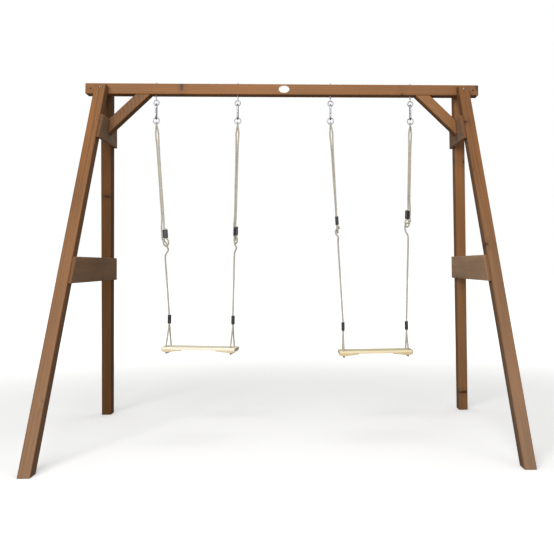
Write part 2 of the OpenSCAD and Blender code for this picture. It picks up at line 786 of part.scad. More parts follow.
top_beam();
leg(left, front);  // leg_front_left
leg(left, back);  // leg_back_left
leg(right, front);  // leg_front_right
leg(right, back);  // leg_back_right
crossboard(left, low_board_z);  // lower_crossboard_left
crossboard(right, low_board_z);  // lower_crossboard_right
crossboard(left, high_board_z);  // upper_crossboard_left
crossboard(right, high_board_z);  // upper_crossboard_right
knee_brace(left);  // knee_brace_left
knee_brace(right);  // knee_brace_right
leg_bolt(left);  // leg_bolt_left
leg_bolt(right);  // leg_bolt_right
leg_nut(left);  // leg_nut_left
leg_nut(right);  // leg_nut_right
crossboard_screws();
knee_brace_screws();
badge_plate();
badge_pins();
eye_bolt(left, outer);  // eye_bolt_left_outer
eye_bolt(left, inner);  // eye_bolt_left_inner
eye_bolt(right, inner);  // eye_bolt_right_inner
eye_bolt(right, outer);  // eye_bolt_right_outer
eye_bolt_nuts();
eye_bolt_washers();
snap_hook(left, outer);  // snap_hook_left_outer
snap_hook(left, inner);  // snap_hook_left_inner
snap_hook(right, inner);  // snap_hook_right_inner
snap_hook(right, outer);  // snap_hook_right_outer
snap_gate(left, outer);  // snap_gate_left_outer
snap_gate(left, inner);  // snap_gate_left_inner
snap_gate(right, inner);  // snap_gate_right_inner
snap_gate(right, outer);  // snap_gate_right_outer
ring(left, outer);  // ring_left_outer
ring(left, inner);  // ring_left_inner
ring(right, inner);  // ring_right_inner
ring(right, outer);  // ring_right_outer
rope(left, outer);  // rope_left_outer
rope(left, inner);  // rope_left_inner
rope(right, inner);  // rope_right_inner
rope(right, outer);  // rope_right_outer
rope_loop(left, outer);  // rope_loop_left_outer
rope_loop(left, inner);  // rope_loop_left_inner
rope_loop(right, inner);  // rope_loop_right_inner
rope_loop(right, outer);  // rope_loop_right_outer
adjuster(left, outer);  // adjuster_left_outer
adjuster(left, inner);  // adjuster_left_inner
adjuster(right, inner);  // adjuster_right_inner
adjuster(right, outer);  // adjuster_right_outer
rope_clamp(left, outer);  // rope_clamp_left_outer
rope_clamp(left, inner);  // rope_clamp_left_inner
rope_clamp(right, inner);  // rope_clamp_right_inner
rope_clamp(right, outer);  // rope_clamp_right_outer
seat(left);  // seat_left
seat(right);  // seat_right
seat_battens(left);  // seat_battens_left
seat_battens(right);  // seat_battens_right
seat_screws(left);  // seat_screws_left
seat_screws(right);  // seat_screws_right
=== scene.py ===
import bpy
import bmesh
import json
import math
from mathutils import Matrix, Vector


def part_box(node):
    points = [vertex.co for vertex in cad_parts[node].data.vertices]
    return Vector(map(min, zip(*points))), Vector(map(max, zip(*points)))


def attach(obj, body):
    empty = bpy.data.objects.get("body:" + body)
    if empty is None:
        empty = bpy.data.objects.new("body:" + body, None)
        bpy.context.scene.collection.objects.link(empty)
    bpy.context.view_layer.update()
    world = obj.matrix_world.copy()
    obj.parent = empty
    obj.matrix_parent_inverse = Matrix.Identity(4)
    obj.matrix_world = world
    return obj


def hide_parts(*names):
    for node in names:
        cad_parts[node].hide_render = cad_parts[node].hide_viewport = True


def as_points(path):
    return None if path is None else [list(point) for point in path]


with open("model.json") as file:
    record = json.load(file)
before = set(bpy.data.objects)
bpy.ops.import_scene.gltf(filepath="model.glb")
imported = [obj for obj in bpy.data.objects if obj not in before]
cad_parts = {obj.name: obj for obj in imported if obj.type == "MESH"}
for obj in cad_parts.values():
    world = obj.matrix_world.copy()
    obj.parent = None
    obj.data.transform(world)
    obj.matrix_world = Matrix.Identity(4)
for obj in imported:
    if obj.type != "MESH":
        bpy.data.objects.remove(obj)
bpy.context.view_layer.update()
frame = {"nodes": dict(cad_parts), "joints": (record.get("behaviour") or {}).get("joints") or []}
nodes = frame["nodes"]
joints = {joint["name"]: joint for joint in frame["joints"]}
sides = ("left", "right")
places = ("outer", "inner")
print("frame loaded:", len(nodes), "nodes")


def makeCamera():
    camera = {
        "place": (0.0974, -5.3106, 0.9972),
        "turn": -3.092,  # degrees to the right of straight ahead
        "tilt": 3.481,  # degrees above level
        "roll": -0.3,
        "lens": 58.16,  # mm on a 36 mm sensor
        "shift": (-0.13, -0.12),
    }
    data = bpy.data.cameras.new("camera")
    data.sensor_width = 36
    data.lens = camera["lens"]
    data.shift_x, data.shift_y = camera["shift"]
    data.dof.use_dof = False
    thing = bpy.data.objects.new("camera", data)
    bpy.context.scene.collection.objects.link(thing)
    aim = Matrix.Rotation(math.radians(camera["turn"]), 4, "Z")
    lift = Matrix.Rotation(math.radians(90 + camera["tilt"]), 4, "X")
    spin = Matrix.Rotation(math.radians(camera["roll"]), 4, "Z")
    thing.matrix_world = Matrix.Translation(camera["place"]) @ aim @ lift @ spin
    bpy.context.scene.camera = thing


makeCamera()
print("camera set")


# Small tools for materials and meshes

def hexColour(code):
    channels = [int(code[i:i + 2], 16) / 255 for i in (1, 3, 5)]
    linear = [c / 12.92 if c <= 0.04045 else ((c + 0.055) / 1.055) ** 2.4 for c in channels]
    return (*linear, 1.0)


def addNode(tree, kind, inputs=None, **settings):
    node = tree.nodes.new(kind)
    for name, value in settings.items():
        setattr(node, name, value)
    for socket, value in (inputs or {}).items():
        if isinstance(value, bpy.types.NodeSocket):
            tree.links.new(value, node.inputs[socket])
        else:
            node.inputs[socket].default_value = value
    return node


def addRamp(tree, factor, stops, interpolation="LINEAR"):
    ramp = addNode(tree, "ShaderNodeValToRGB", {"Fac": factor})
    ramp.color_ramp.interpolation = interpolation
    elements = ramp.color_ramp.elements
    while len(elements) < len(stops):
        elements.new(0.5)
    for element, (position, colour) in zip(elements, stops):
        element.position = position
        element.color = hexColour(colour) if isinstance(colour, str) else (colour,) * 3 + (1,)
    return ramp


def doMath(tree, operation, a, b=0.0, c=0.0):
    return addNode(tree, "ShaderNodeMath", {0: a, 1: b, 2: c},
                   operation=operation).outputs["Value"]


def mixColours(tree, factor, a, b):
    return addNode(tree, "ShaderNodeMix", {"Factor": factor, "A": a, "B": b},
                   data_type="RGBA").outputs["Result"]


def newMaterial(name):
    material = bpy.data.materials.new(name)
    material.use_nodes = True
    tree = material.node_tree
    tree.nodes.clear()
    shader = addNode(tree, "ShaderNodeBsdfPrincipled")
    out = addNode(tree, "ShaderNodeOutputMaterial")
    tree.links.new(shader.outputs["BSDF"], out.inputs["Surface"])
    return material, tree, shader


def addMesh(name, vertices, faces, smooth=True):
    mesh = bpy.data.meshes.new(name)
    mesh.from_pydata([tuple(v) for v in vertices], [], faces)
    mesh.update()
    for polygon in mesh.polygons:
        polygon.use_smooth = smooth
    thing = bpy.data.objects.new(name, mesh)
    bpy.context.scene.collection.objects.link(thing)
    return thing


def evenNormals(thing, sharpDegrees=50):
    work = bmesh.new()
    work.from_mesh(thing.data)
    bmesh.ops.recalc_face_normals(work, faces=work.faces)
    work.to_mesh(thing.data)
    work.free()
    thing.data.set_sharp_from_angle(angle=math.radians(sharpDegrees))


def setMaterial(thing, material):
    thing.data.materials.clear()
    thing.data.materials.append(material)


def middle(node):
    low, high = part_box(node)
    return (low + high) / 2


# Polypropylene rope, twisted from spun fibre: dull beige grey, hairy, with painted shade
# in the grooves between its strands, and a faint sheen along the fibres.
def makeRopeMaterial():
    looks = {
        "light": "#c2b9a8", "middle": "#a09686", "dark": "#5f574d",
        "fibre": 0.0006,  # a fibre's width in metres, drawn coarser than the real 0.1 mm
        "dirt": 0.05, "rough": 0.82, "sheen": 0.25, "sheenRough": 0.5, "ior": 1.49,
    }
    material, tree, shader = newMaterial("spunPolypropyleneRope")
    uv = addNode(tree, "ShaderNodeTexCoord").outputs["UV"]
    along = addNode(tree, "ShaderNodeMapping", {
        "Vector": uv, "Scale": (1 / (looks["fibre"] * 22), 42, 1)})
    fibres = addNode(tree, "ShaderNodeTexNoise", {
        "Vector": along.outputs["Vector"], "Scale": 1, "Detail": 4, "Roughness": 0.65})
    place = addNode(tree, "ShaderNodeTexCoord").outputs["Object"]
    dirt = addNode(tree, "ShaderNodeTexNoise", {
        "Vector": place, "Scale": 1 / looks["dirt"], "Detail": 3})
    # Painted shade: crest is low in the grooves between strands, which take the dark colour; the
    # crests take the light one.
    depth = addNode(tree, "ShaderNodeAttribute", attribute_name="crest")
    tone = doMath(tree, "MULTIPLY_ADD", fibres.outputs["Fac"], 0.55, depth.outputs["Fac"])
    ramp = addRamp(tree, tone, [
        (0.1, looks["dark"]), (0.6, looks["middle"]), (1.0, looks["light"])])
    soil = addNode(tree, "ShaderNodeMapRange", {
        "Value": dirt.outputs["Fac"], "From Min": 0.35, "From Max": 0.7,
        "To Min": 0.86, "To Max": 1.06})
    mixed = addNode(tree, "ShaderNodeVectorMath", {
        0: ramp.outputs["Color"], "Scale": soil.outputs["Result"]}, operation="SCALE")
    bump = addNode(tree, "ShaderNodeBump", {
        "Height": fibres.outputs["Fac"], "Strength": 0.6, "Distance": looks["fibre"]})
    tree.links.new(mixed.outputs["Vector"], shader.inputs["Base Color"])
    tree.links.new(bump.outputs["Normal"], shader.inputs["Normal"])
    shader.inputs["Roughness"].default_value = looks["rough"]
    shader.inputs["Sheen Weight"].default_value = looks["sheen"]
    shader.inputs["Sheen Roughness"].default_value = looks["sheenRough"]
    shader.inputs["IOR"].default_value = looks["ior"]
    return material


ropeMaterial = makeRopeMaterial()

rope = {
    "diameter": 0.010,
    "strands": 3,
    "layLength": 0.034,
    "groove": 0.26,  # how deep the valley between two strands is, as a share of the radius
    "step": 0.0024,
    "around": 15,
    "overRing": 0.0083,  # from the middle of the ring's wire to the middle of the rope
    "strandGap": 0.011,
    "clampMiddle": 0.009,
    "clampOutside": 0.009,
    "clampLength": 0.049,
    "meltedEnd": 0.5,  # how far a melted end's dome reaches, as a share of the radius
    "meltedWidth": 0.72,
}


def lookup(at, pairs):
    if at <= pairs[0][0]:
        return pairs[0][1]
    for (x0, y0), (x1, y1) in zip(pairs, pairs[1:]):
        if at <= x1:
            return y0 + (y1 - y0) * (at - x0) / (x1 - x0)
    return pairs[-1][1]


def smoothLine(points, step):
    # An even walk along the Catmull-Rom curve through the points.
    line = [Vector(p) for p in points]
    ends = [2 * line[0] - line[1]] + line + [2 * line[-1] - line[-2]]
    fine = []
    for i in range(1, len(ends) - 2):
        a, b, c, d = ends[i - 1], ends[i], ends[i + 1], ends[i + 2]
        # Centripetal knots keep the curve from overshooting where points lie close.
        t0 = 0.0
        t1 = t0 + max((b - a).length, 1e-6) ** 0.5
        t2 = t1 + max((c - b).length, 1e-6) ** 0.5
        t3 = t2 + max((d - c).length, 1e-6) ** 0.5
        count = max(2, round((c - b).length / (step * 0.5)))
        for k in range(count):
            t = t1 + (t2 - t1) * k / count
            a1 = a * ((t1 - t) / (t1 - t0)) + b * ((t - t0) / (t1 - t0))
            a2 = b * ((t2 - t) / (t2 - t1)) + c * ((t - t1) / (t2 - t1))
            a3 = c * ((t3 - t) / (t3 - t2)) + d * ((t - t2) / (t3 - t2))
            b1 = a1 * ((t2 - t) / (t2 - t0)) + a2 * ((t - t0) / (t2 - t0))
            b2 = a2 * ((t3 - t) / (t3 - t1)) + a3 * ((t - t1) / (t3 - t1))
            fine.append(b1 * ((t2 - t) / (t2 - t1)) + b2 * ((t - t1) / (t2 - t1)))
    fine.append(line[-1])
    walked = [0.0]
    for p, q in zip(fine, fine[1:]):
        walked.append(walked[-1] + (q - p).length)
    count = max(2, round(walked[-1] / step))
    even, j = [], 0
    for k in range(count + 1):
        want = walked[-1] * k / count
        while j < len(walked) - 2 and walked[j + 1] < want:
            j += 1
        span = walked[j + 1] - walked[j]
        share = 0 if span < 1e-9 else (want - walked[j]) / span
        even.append(fine[j].lerp(fine[j + 1], min(1, share)))
    return even, walked[-1]


def twistedRope(name, route, body, replaced, radiusAt=None):
    line, length = smoothLine(route, rope["step"])
    radius, around, last = rope["diameter"] / 2, rope["around"], len(line) - 1
    heading = [(line[min(i + 1, last)] - line[max(i - 1, 0)]).normalized()
               for i in range(last + 1)]
    side = heading[0].orthogonal().normalized()
    vertices, crests, faces, uvs = [], [], [], []
    for i, (p, t) in enumerate(zip(line, heading)):
        side = (side - t * side.dot(t)).normalized()
        other = t.cross(side)
        walked = length * i / last
        turn = 2 * math.pi * walked / rope["layLength"]
        taper = 1.0
        fromEnd = min(walked, length - walked)
        dome, width = radius * rope["meltedEnd"], rope["meltedWidth"]
        if fromEnd < dome:  # cut ends are melted to a low dome
            taper = width + (1 - width) * math.sqrt(max(0, 1 - (1 - fromEnd / dome) ** 2))
        for k in range(around):
            angle = 2 * math.pi * k / around
            lobe = abs(math.cos(rope["strands"] * angle / 2))
            r = radius * taper * (1 - rope["groove"] * (1 - lobe) ** 1.5)
            vertices.append(p + (side * math.cos(angle + turn)
                                 + other * math.sin(angle + turn)) * r)
            # How far onto a strand's crest the point lies; the rope material paints shade in the
            # grooves from it.
            crests.append(lobe ** 0.7)
    for i in range(last):
        for k in range(around):
            n = (k + 1) % around
            faces.append((i * around + k, i * around + n,
                          (i + 1) * around + n, (i + 1) * around + k))
            v0, v1 = k / around, (k + 1) / around
            u0, u1 = length * i / last, length * (i + 1) / last
            uvs += [(u0, v0), (u0, v1), (u1, v1), (u1, v0)]
    for first, order in ((0, reversed(range(around))), (last * around, range(around))):
        faces.append(tuple(first + k for k in order))
        uvs += [(0.0, k / around) for k in range(around)]
    thing = addMesh(name, vertices, faces)
    layer = thing.data.uv_layers.new(name="lay")
    for corner, value in zip(layer.data, uvs):
        corner.uv = value
    crest = thing.data.attributes.new("crest", "FLOAT", "POINT")
    crest.data.foreach_set("value", crests)
    setMaterial(thing, ropeMaterial)
    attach(thing, body)
    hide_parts(*replaced)
    return thing, line, length


# The hitch and the eye that the rope makes under its adjuster, and how the doubled
# rope turns on its way down: [drop below the ring, degrees].
hitch = [
    (0.0005, 0.004, 0.006), (0.003, 0.009, 0.012), (0.007, 0.0125, 0.016),
    (0.0, 0.012, 0.0185), (0.0048, 0.006, 0.022), (0.008, 0.0, 0.0255),
    (0.011, -0.007, 0.029), (0.013, -0.012, 0.035), (0.015, -0.0125, 0.045),
    (0.016, -0.011, 0.054), (0.019, -0.006, 0.062), (0.020, -0.001, 0.070),
    (0.016, 0.0, 0.079), (0.008, 0.0, 0.090), (0.002, 0.0, 0.100), (0.0, 0.0, 0.110),
]
endEye = [
    (-0.002, 0.011), (-0.005, 0.020), (-0.005, 0.031), (-0.0005, 0.042),
    (0.009, 0.048), (0.0185, 0.042), (0.023, 0.031), (0.023, 0.020), (0.020, 0.011),
]
hung = {
    ("left", "outer"): {"drop": 0.630, "turns": [(0, -90), (0.06, -10), (0.17, 0), (0.63, 0)]},
    ("left", "inner"): {"drop": 0.615,
                        "turns": [(0, -90), (0.06, -20), (0.3, -30), (0.6, -50)]},
    ("right", "outer"): {"drop": 0.520,
                         "turns": [(0, -90), (0.06, -160), (0.3, -170), (0.5, -150)]},
    ("right", "inner"): {"drop": 0.555,
                         "turns": [(0, -90), (0.06, -20), (0.3, -50), (0.54, -85)]},
}


def ropeFrame(side, place):
    # The rope's own axes: origin on the ring's lower wire, -Z down to its bending point.
    low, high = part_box(f"ring_{side}_{place}")
    wire = (high.y - low.y) / 2
    ring = (low + high) / 2
    ringRadius = (high.z - low.z) / 2 - wire
    bend = bendPoint(side, place)
    lean = math.atan2(ring.x - bend.x, ring.z - bend.z)
    drop = math.hypot(ring.x - bend.x, ring.z - bend.z) - ringRadius
    tip = math.atan2(bend.y, drop)
    placed = (Matrix.Translation(ring) @ Matrix.Rotation(lean, 4, "Y")
              @ Matrix.Translation((0, 0, -ringRadius)) @ Matrix.Rotation(tip, 4, "X"))
    return placed, math.hypot(drop, bend.y)


def seatFrame(side):
    # Origin in the middle of the seat's top, +X along the seat.
    tip = joints[f"{side}_seat_tip"]
    along = Vector(tip["axis"]).normalized()
    turn = math.atan2(along.y, along.x)
    slope = math.asin(-along.z)
    turned = Matrix.Rotation(turn, 4, "Z") @ Matrix.Rotation(slope, 4, "Y")
    up = turned.to_3x3() @ Vector((0, 0, 1))
    pivot = Vector(tip["pos_m"])
    local = [turned.inverted() @ v.co for v in nodes[f"seat_{side}"].data.vertices]
    topLevel = max(p.z for p in local)
    rise = (turned.inverted() @ pivot).z - topLevel
    return Matrix.Translation(pivot - up * rise) @ turned, rise


def holeOffset(side, place):
    # How far the rope holes are from the seat's middle, along the seat.
    placed, rise = seatFrame(side)
    clamp = placed.inverted() @ middle(f"rope_clamp_{side}_{place}")
    return clamp.x


def bendPoint(side, place):
    placed, rise = seatFrame(side)
    return placed @ Vector((holeOffset(side, place), 0, rise))


def strandOut(drop, top, atClamp):
    over, half = rope["overRing"], rope["diameter"] / 2
    return lookup(drop, [(0, over), (0.06, over + 0.0002), (0.12, 0.0062),
                         (0.18, half + 0.0003), (top - 0.07, half + 0.0003),
                         (top - 0.012, atClamp)])


def ropeRoute(side, place):
    placed, length = ropeFrame(side, place)
    facts = hung[side, place]
    top = facts["drop"]
    low = top + rope["clampLength"]
    half = rope["diameter"] / 2
    holdU = rope["clampMiddle"] - rope["strandGap"] / 2
    tailU = rope["clampMiddle"] + rope["strandGap"] / 2
    passU = holdU - rope["clampOutside"] - half - 0.0006
    turn = lookup(top, facts["turns"])

    def atTurn(across, behind, drop, degrees):
        a = math.radians(degrees)
        return (across * math.cos(a) - behind * math.sin(a),
                across * math.sin(a) + behind * math.cos(a), -drop)

    shown = [d for d in (0.012, 0.026, 0.042, 0.06, 0.09, 0.12, 0.15, 0.18, 0.26, 0.34,
                         0.42, top - 0.07, top - 0.04, top - 0.012) if d <= top - 0.012]
    shown.sort()
    points = [(0, 0, -length - 0.94 * half), (0, 0, -length),
              (0, 0, -(length + low + 0.11) / 2)]
    for i, (u, w, h) in enumerate(reversed(hitch)):
        across = u + passU if i >= len(hitch) - 3 else u
        points.append(atTurn(across, w, low + h, turn))
    points += [atTurn(passU, 0, low - 0.004, turn), atTurn(passU, 0, top + 0.004, turn)]
    for d in reversed(shown):
        points.append(atTurn(-strandOut(d, top, -passU), 0, d, lookup(d, facts["turns"])))
    for k in range(9):
        a = math.radians(22.5 * k)
        points.append((0, rope["overRing"] * math.cos(a), rope["overRing"] * math.sin(a)))
    for d in shown:
        points.append(atTurn(strandOut(d, top, holdU), 0, d, lookup(d, facts["turns"])))
    points += [atTurn(holdU, 0, top, turn), atTurn(holdU, 0, low, turn),
               atTurn(holdU - 0.0006, 0, low + 0.004, turn)]
    points += [atTurn(u, 0, low + h, turn) for u, h in endEye]
    points += [atTurn(tailU + 0.0006, 0, low + 0.004, turn), atTurn(tailU, 0, low, turn),
               atTurn(tailU, 0, top - 0.006, turn)]
    return [placed @ Vector(p) for p in points]


def loopRoute(side, place):
    placed, rise = seatFrame(side)
    offset = holeOffset(side, place)
    local = [placed.inverted() @ v.co for v in nodes[f"seat_battens_{side}"].data.vertices]
    under = min(p.z for p in local) - rope["diameter"] / 2 - 0.0005
    half, clamp, mouth = 0.06, rope["clampLength"], 0.004
    down = [
        (0, rise - 0.0056), (0, rise + mouth - clamp), (0.0015, rise - clamp - 0.006),
        (0.006, rise - clamp - 0.018), (half - 0.011, 0.020), (half - 0.004, 0.0085),
        (half - 0.0008, 0.001), (half, -0.008), (half, -0.026),
        (half - 0.0015, under + 0.0016), (half - 0.006, under - 0.0008),
        (half - 0.014, under),
    ]
    points = [(offset, -y, z) for y, z in down] + [(offset, 0, under)]
    for y, z in reversed(down[2:]):
        spread = (rope["strandGap"] - y * 0.4 if z > rise - clamp - 0.020
                  else 0.001 if z > 0.015 else 0)
        points.append((offset, y + spread, z))
    points += [(offset, rope["strandGap"], rise + mouth - clamp),
               (offset, rope["strandGap"], rise - 0.003)]
    return [placed @ Vector(p) for p in points]


def makeRopes():
    for side in sides:
        for place in places:
            name = f"{side}_{place}"
            route = ropeRoute(side, place)
            piece, line, length = twistedRope(
                f"swingRope_{name}", route, f"{side}_ropes", [f"rope_{name}"])
            tuple(line[0])
            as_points(line)
            route = loopRoute(side, place)
            piece, line, length = twistedRope(
                f"seatRope_{name}", route, f"{side}_seat", [f"rope_loop_{name}"])
            tuple(line[0])
            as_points(line)


makeRopes()
print("ropes laid")


# How often each pattern changes per metre: [along the grain, across it, up through it].
patterns = {
    "wander": (0.9, 5, 5), "fibres": (7, 420, 420), "streaks": (1.3, 60, 60),
    "blotches": (2.4, 9, 9), "patches": (1.1, 14, 14),
}


# Sawn and planed softwood. Growth rings run round a pith line outside the timber, the
# saw cuts them into long streaks on the faces and arcs on the ends, and knots point
# from the pith to the faces. The ring spacing and the fibres are drawn coarser than
# the real 2 to 4 mm and 0.1 mm, so that they show.
def makeTimber(name, looks, grain, across, origin, pith, seed):
    material, tree, shader = newMaterial(name)
    grain, across = Vector(grain).normalized(), Vector(across)
    across = (across - grain * across.dot(grain)).normalized()
    place, axes, local = timberSpace(tree, (grain, across, grain.cross(across)), origin)

    def noise(pattern, detail=3, rough=0.5, offset=0.0):
        spot = addNode(tree, "ShaderNodeMapping", {
            "Vector": local, "Location": (seed * 3.7 + offset,) * 3,
            "Scale": patterns[pattern]})
        return addNode(tree, "ShaderNodeTexNoise", {
            "Vector": spot.outputs["Vector"], "Scale": 1, "Detail": detail,
            "Roughness": rough})

    wander = noise("wander", 2).outputs["Color"]
    radius, angle = aroundPith(tree, looks, axes, pith, wander)
    distance, knot, halo = timberKnots(tree, looks, axes[0], angle, seed)
    late = lateWood(tree, looks, radius, halo)
    fibres = noise("fibres", 4, 0.6).outputs["Fac"]
    streaks = noise("streaks", 4, 0.6, 5.0).outputs["Fac"]
    blotches = noise("blotches", 3, 0.55, 9.0).outputs["Fac"]
    patches = noise("patches", 3, 0.6, 13.0).outputs["Fac"]

    tone = timberTone(tree, looks, streaks, blotches, fibres, halo)
    stain = stainedFace(tree, looks, late, patches, place)
    toned = addNode(tree, "ShaderNodeVectorMath", {
        0: stain, "Scale": tone}, operation="SCALE").outputs["Vector"]
    knotted = mixColours(tree, doMath(tree, "MULTIPLY", knot, looks["knotDepth"]), toned,
                         knotHeart(tree, looks, distance))
    ended = darkEnds(tree, looks, knotted, late, grain)
    finished = rubbedArrises(tree, looks, ended, streaks)
    tree.links.new(finished, shader.inputs["Base Color"])

    rough = doMath(tree, "MULTIPLY_ADD", fibres, 0.16, looks["rough"] - 0.08)
    tree.links.new(doMath(tree, "SUBTRACT", rough, doMath(tree, "MULTIPLY", knot, 0.12)),
                   shader.inputs["Roughness"])
    relief = doMath(tree, "ADD", doMath(tree, "MULTIPLY", late, 0.5), fibres)
    bump = addNode(tree, "ShaderNodeBump", {
        "Height": relief, "Strength": looks["bump"], "Distance": 0.0005})
    tree.links.new(bump.outputs["Normal"], shader.inputs["Normal"])
    shader.inputs["IOR"].default_value = 1.5
    shader.inputs["Specular IOR Level"].default_value = looks["gloss"]
    return material


def timberSpace(tree, directions, origin):
    # The point's place along the grain, across it and up through the timber.
    place = addNode(tree, "ShaderNodeTexCoord").outputs["Object"]
    moved = addNode(tree, "ShaderNodeVectorMath", {0: place, 1: tuple(-Vector(origin))},
                    operation="ADD").outputs["Vector"]
    axes = [addNode(tree, "ShaderNodeVectorMath", {0: moved, 1: tuple(axis)},
                    operation="DOT_PRODUCT").outputs["Value"] for axis in directions]
    local = addNode(tree, "ShaderNodeCombineXYZ", {
        "X": axes[0], "Y": axes[1], "Z": axes[2]}).outputs["Vector"]
    return place, axes, local


def aroundPith(tree, looks, axes, pith, wander):
    # Distance from the pith line and angle round it, with a slow drift along the grain.
    drift = addNode(tree, "ShaderNodeSeparateXYZ", {"Vector": wander})
    sides = []
    for socket, axis, offset in (("X", axes[1], pith[0]), ("Y", axes[2], pith[1])):
        drifted = doMath(tree, "MULTIPLY_ADD", drift.outputs[socket], looks["wander"], axis)
        sides.append(doMath(tree, "ADD", drifted, -offset - looks["wander"] / 2))
    cross, rise = sides
    squares = [doMath(tree, "MULTIPLY", side, side) for side in sides]
    radius = doMath(tree, "POWER", doMath(tree, "ADD", *squares), 0.5)
    return radius, doMath(tree, "ARCTAN2", rise, cross)


def timberKnots(tree, looks, along, angle, seed):
    # One here and there on a grid of place along the timber and angle round it.
    cell, size = looks["knotCell"], looks["knotRadius"]
    grid = addNode(tree, "ShaderNodeCombineXYZ", {
        "X": doMath(tree, "MULTIPLY_ADD", along, 1 / cell, seed * 1.31),
        "Y": doMath(tree, "MULTIPLY_ADD", angle, looks["knotTurn"], seed * 0.77),
    }).outputs["Vector"]
    spots = addNode(tree, "ShaderNodeTexVoronoi", {
        "Vector": grid, "Scale": 1.0, "Randomness": 0.85}, voronoi_dimensions="2D")
    chance = addNode(tree, "ShaderNodeSeparateColor", {
        "Color": spots.outputs["Color"]}).outputs["Red"]
    chosen = doMath(tree, "LESS_THAN", chance, looks["knotShare"])
    distance = doMath(tree, "MULTIPLY", spots.outputs["Distance"], cell)
    spreads = []
    for inner, outer, kind in ((0.55, 1.0, "SMOOTHSTEP"), (0.0, 4.5, "SMOOTHERSTEP")):
        near = addNode(tree, "ShaderNodeMapRange", {
            "Value": distance, "From Min": size * inner, "From Max": size * outer,
            "To Min": 1.0, "To Max": 0.0}, interpolation_type=kind).outputs["Result"]
        spreads.append(doMath(tree, "MULTIPLY", near, chosen))
    knot, halo = spreads
    return distance, knot, halo


def lateWood(tree, looks, radius, halo):
    # The dark half of each growth ring, which bends out round a knot.
    bent = doMath(tree, "MULTIPLY_ADD", halo, looks["ring"] * 1.9, radius)
    ring = doMath(tree, "FRACT", doMath(tree, "MULTIPLY", bent, 1 / looks["ring"]))
    return addRamp(tree, ring, [(0.0, 0.0), (0.55, 0.25), (0.86, 1.0), (1.0, 0.0)],
                   "B_SPLINE").outputs["Color"]


def timberTone(tree, looks, streaks, blotches, fibres, halo):
    tone = doMath(tree, "MULTIPLY_ADD", streaks, looks["streak"], 1 - looks["streak"] / 2)
    for pattern, depth in ((blotches, looks["blotch"]), (fibres, looks["fibre"])):
        tone = doMath(tree, "ADD", tone,
                      doMath(tree, "MULTIPLY_ADD", pattern, depth, -depth / 2))
    tone = doMath(tree, "SUBTRACT", tone, doMath(tree, "MULTIPLY", halo, looks["haloDark"]))
    # Each timber's brightness factor; on the back-left leg it is painted shade.
    return doMath(tree, "MULTIPLY", tone, looks["shade"])


def stainedFace(tree, looks, late, patches, place):
    # Warmer in patches, and bleached by weather towards the ground.
    base = mixColours(tree, doMath(tree, "MULTIPLY", late, looks["ringDepth"]),
                      hexColour(looks["early"]), hexColour(looks["late"]))
    warmth = addNode(tree, "ShaderNodeMapRange", {
        "Value": patches, "From Min": 0.5, "From Max": 0.72, "To Min": 0.0,
        "To Max": looks["warmth"]}, interpolation_type="SMOOTHSTEP").outputs["Result"]
    warmed = mixColours(tree, warmth, base, hexColour(looks["warm"]))
    height = addNode(tree, "ShaderNodeSeparateXYZ", {"Vector": place}).outputs["Z"]
    low = addNode(tree, "ShaderNodeMapRange", {
        "Value": height, "From Min": looks["bleachFrom"], "From Max": looks["bleachTo"],
        "To Min": looks["bleach"], "To Max": 0.0}).outputs["Result"]
    return mixColours(tree, doMath(tree, "ADD", low, looks["grey"]), warmed,
                      hexColour(looks["bleached"]))


def knotHeart(tree, looks, distance):
    swirl = doMath(tree, "FRACT", doMath(tree, "MULTIPLY", distance,
                                         1 / (looks["knotRadius"] * 0.3)))
    return mixColours(tree, doMath(tree, "MULTIPLY", swirl, 0.5),
                      hexColour(looks["knot"]), hexColour(looks["knotRim"]))


def darkEnds(tree, looks, faces, late, grain):
    # End grain drinks the stain: darker and redder than the faces.
    facing = addNode(tree, "ShaderNodeNewGeometry").outputs["Normal"]
    endOn = doMath(tree, "ABSOLUTE", addNode(tree, "ShaderNodeVectorMath", {
        0: facing, 1: tuple(grain)}, operation="DOT_PRODUCT").outputs["Value"])
    isEnd = addNode(tree, "ShaderNodeMapRange", {
        "Value": endOn, "From Min": 0.55, "From Max": 0.85, "To Min": 0.0,
        "To Max": looks["endDark"]}, interpolation_type="SMOOTHSTEP").outputs["Result"]
    endTone = mixColours(tree, doMath(tree, "MULTIPLY", late, 0.55),
                         hexColour(looks["endGrain"]), hexColour(looks["knot"]))
    return mixColours(tree, isEnd, faces, endTone)


def rubbedArrises(tree, looks, faces, streaks):
    # Arrises take more stain than the faces, or less where they are rubbed.
    facing = addNode(tree, "ShaderNodeNewGeometry").outputs["Normal"]
    bevel = addNode(tree, "ShaderNodeBevel", {"Radius": 0.004}, samples=4)
    same = addNode(tree, "ShaderNodeVectorMath", {
        0: bevel.outputs["Normal"], 1: facing}, operation="DOT_PRODUCT").outputs["Value"]
    edge = addNode(tree, "ShaderNodeMapRange", {
        "Value": same, "From Min": 0.80, "From Max": 0.99,
        "To Min": 1.0, "To Max": 0.0}).outputs["Result"]
    rubbed = doMath(tree, "MULTIPLY", edge,
                    doMath(tree, "MULTIPLY", streaks, looks["rub"]))
    return mixColours(tree, rubbed, faces, hexColour(looks["rubbed"]))


def timberAxes(node):
    # The way that a straight timber's grain runs: along its longest edge.
    mesh = nodes[node].data
    longest = max(mesh.edges, key=lambda e: (
        mesh.vertices[e.vertices[0]].co - mesh.vertices[e.vertices[1]].co).length)
    a, b = (mesh.vertices[i].co for i in longest.vertices)
    return (b - a).normalized()


arris = {  # radius planed on the long edges, and the shortest edge that gets it
    "timber": 0.0045, "timberShortest": 0.02, "seat": 0.0035, "seatShortest": 0.0012,
    "batten": 0.0018, "battenShortest": 0.006,
    "flat": 0.6, "corner": 25, "sharp": 32,  # degrees between two faces
}


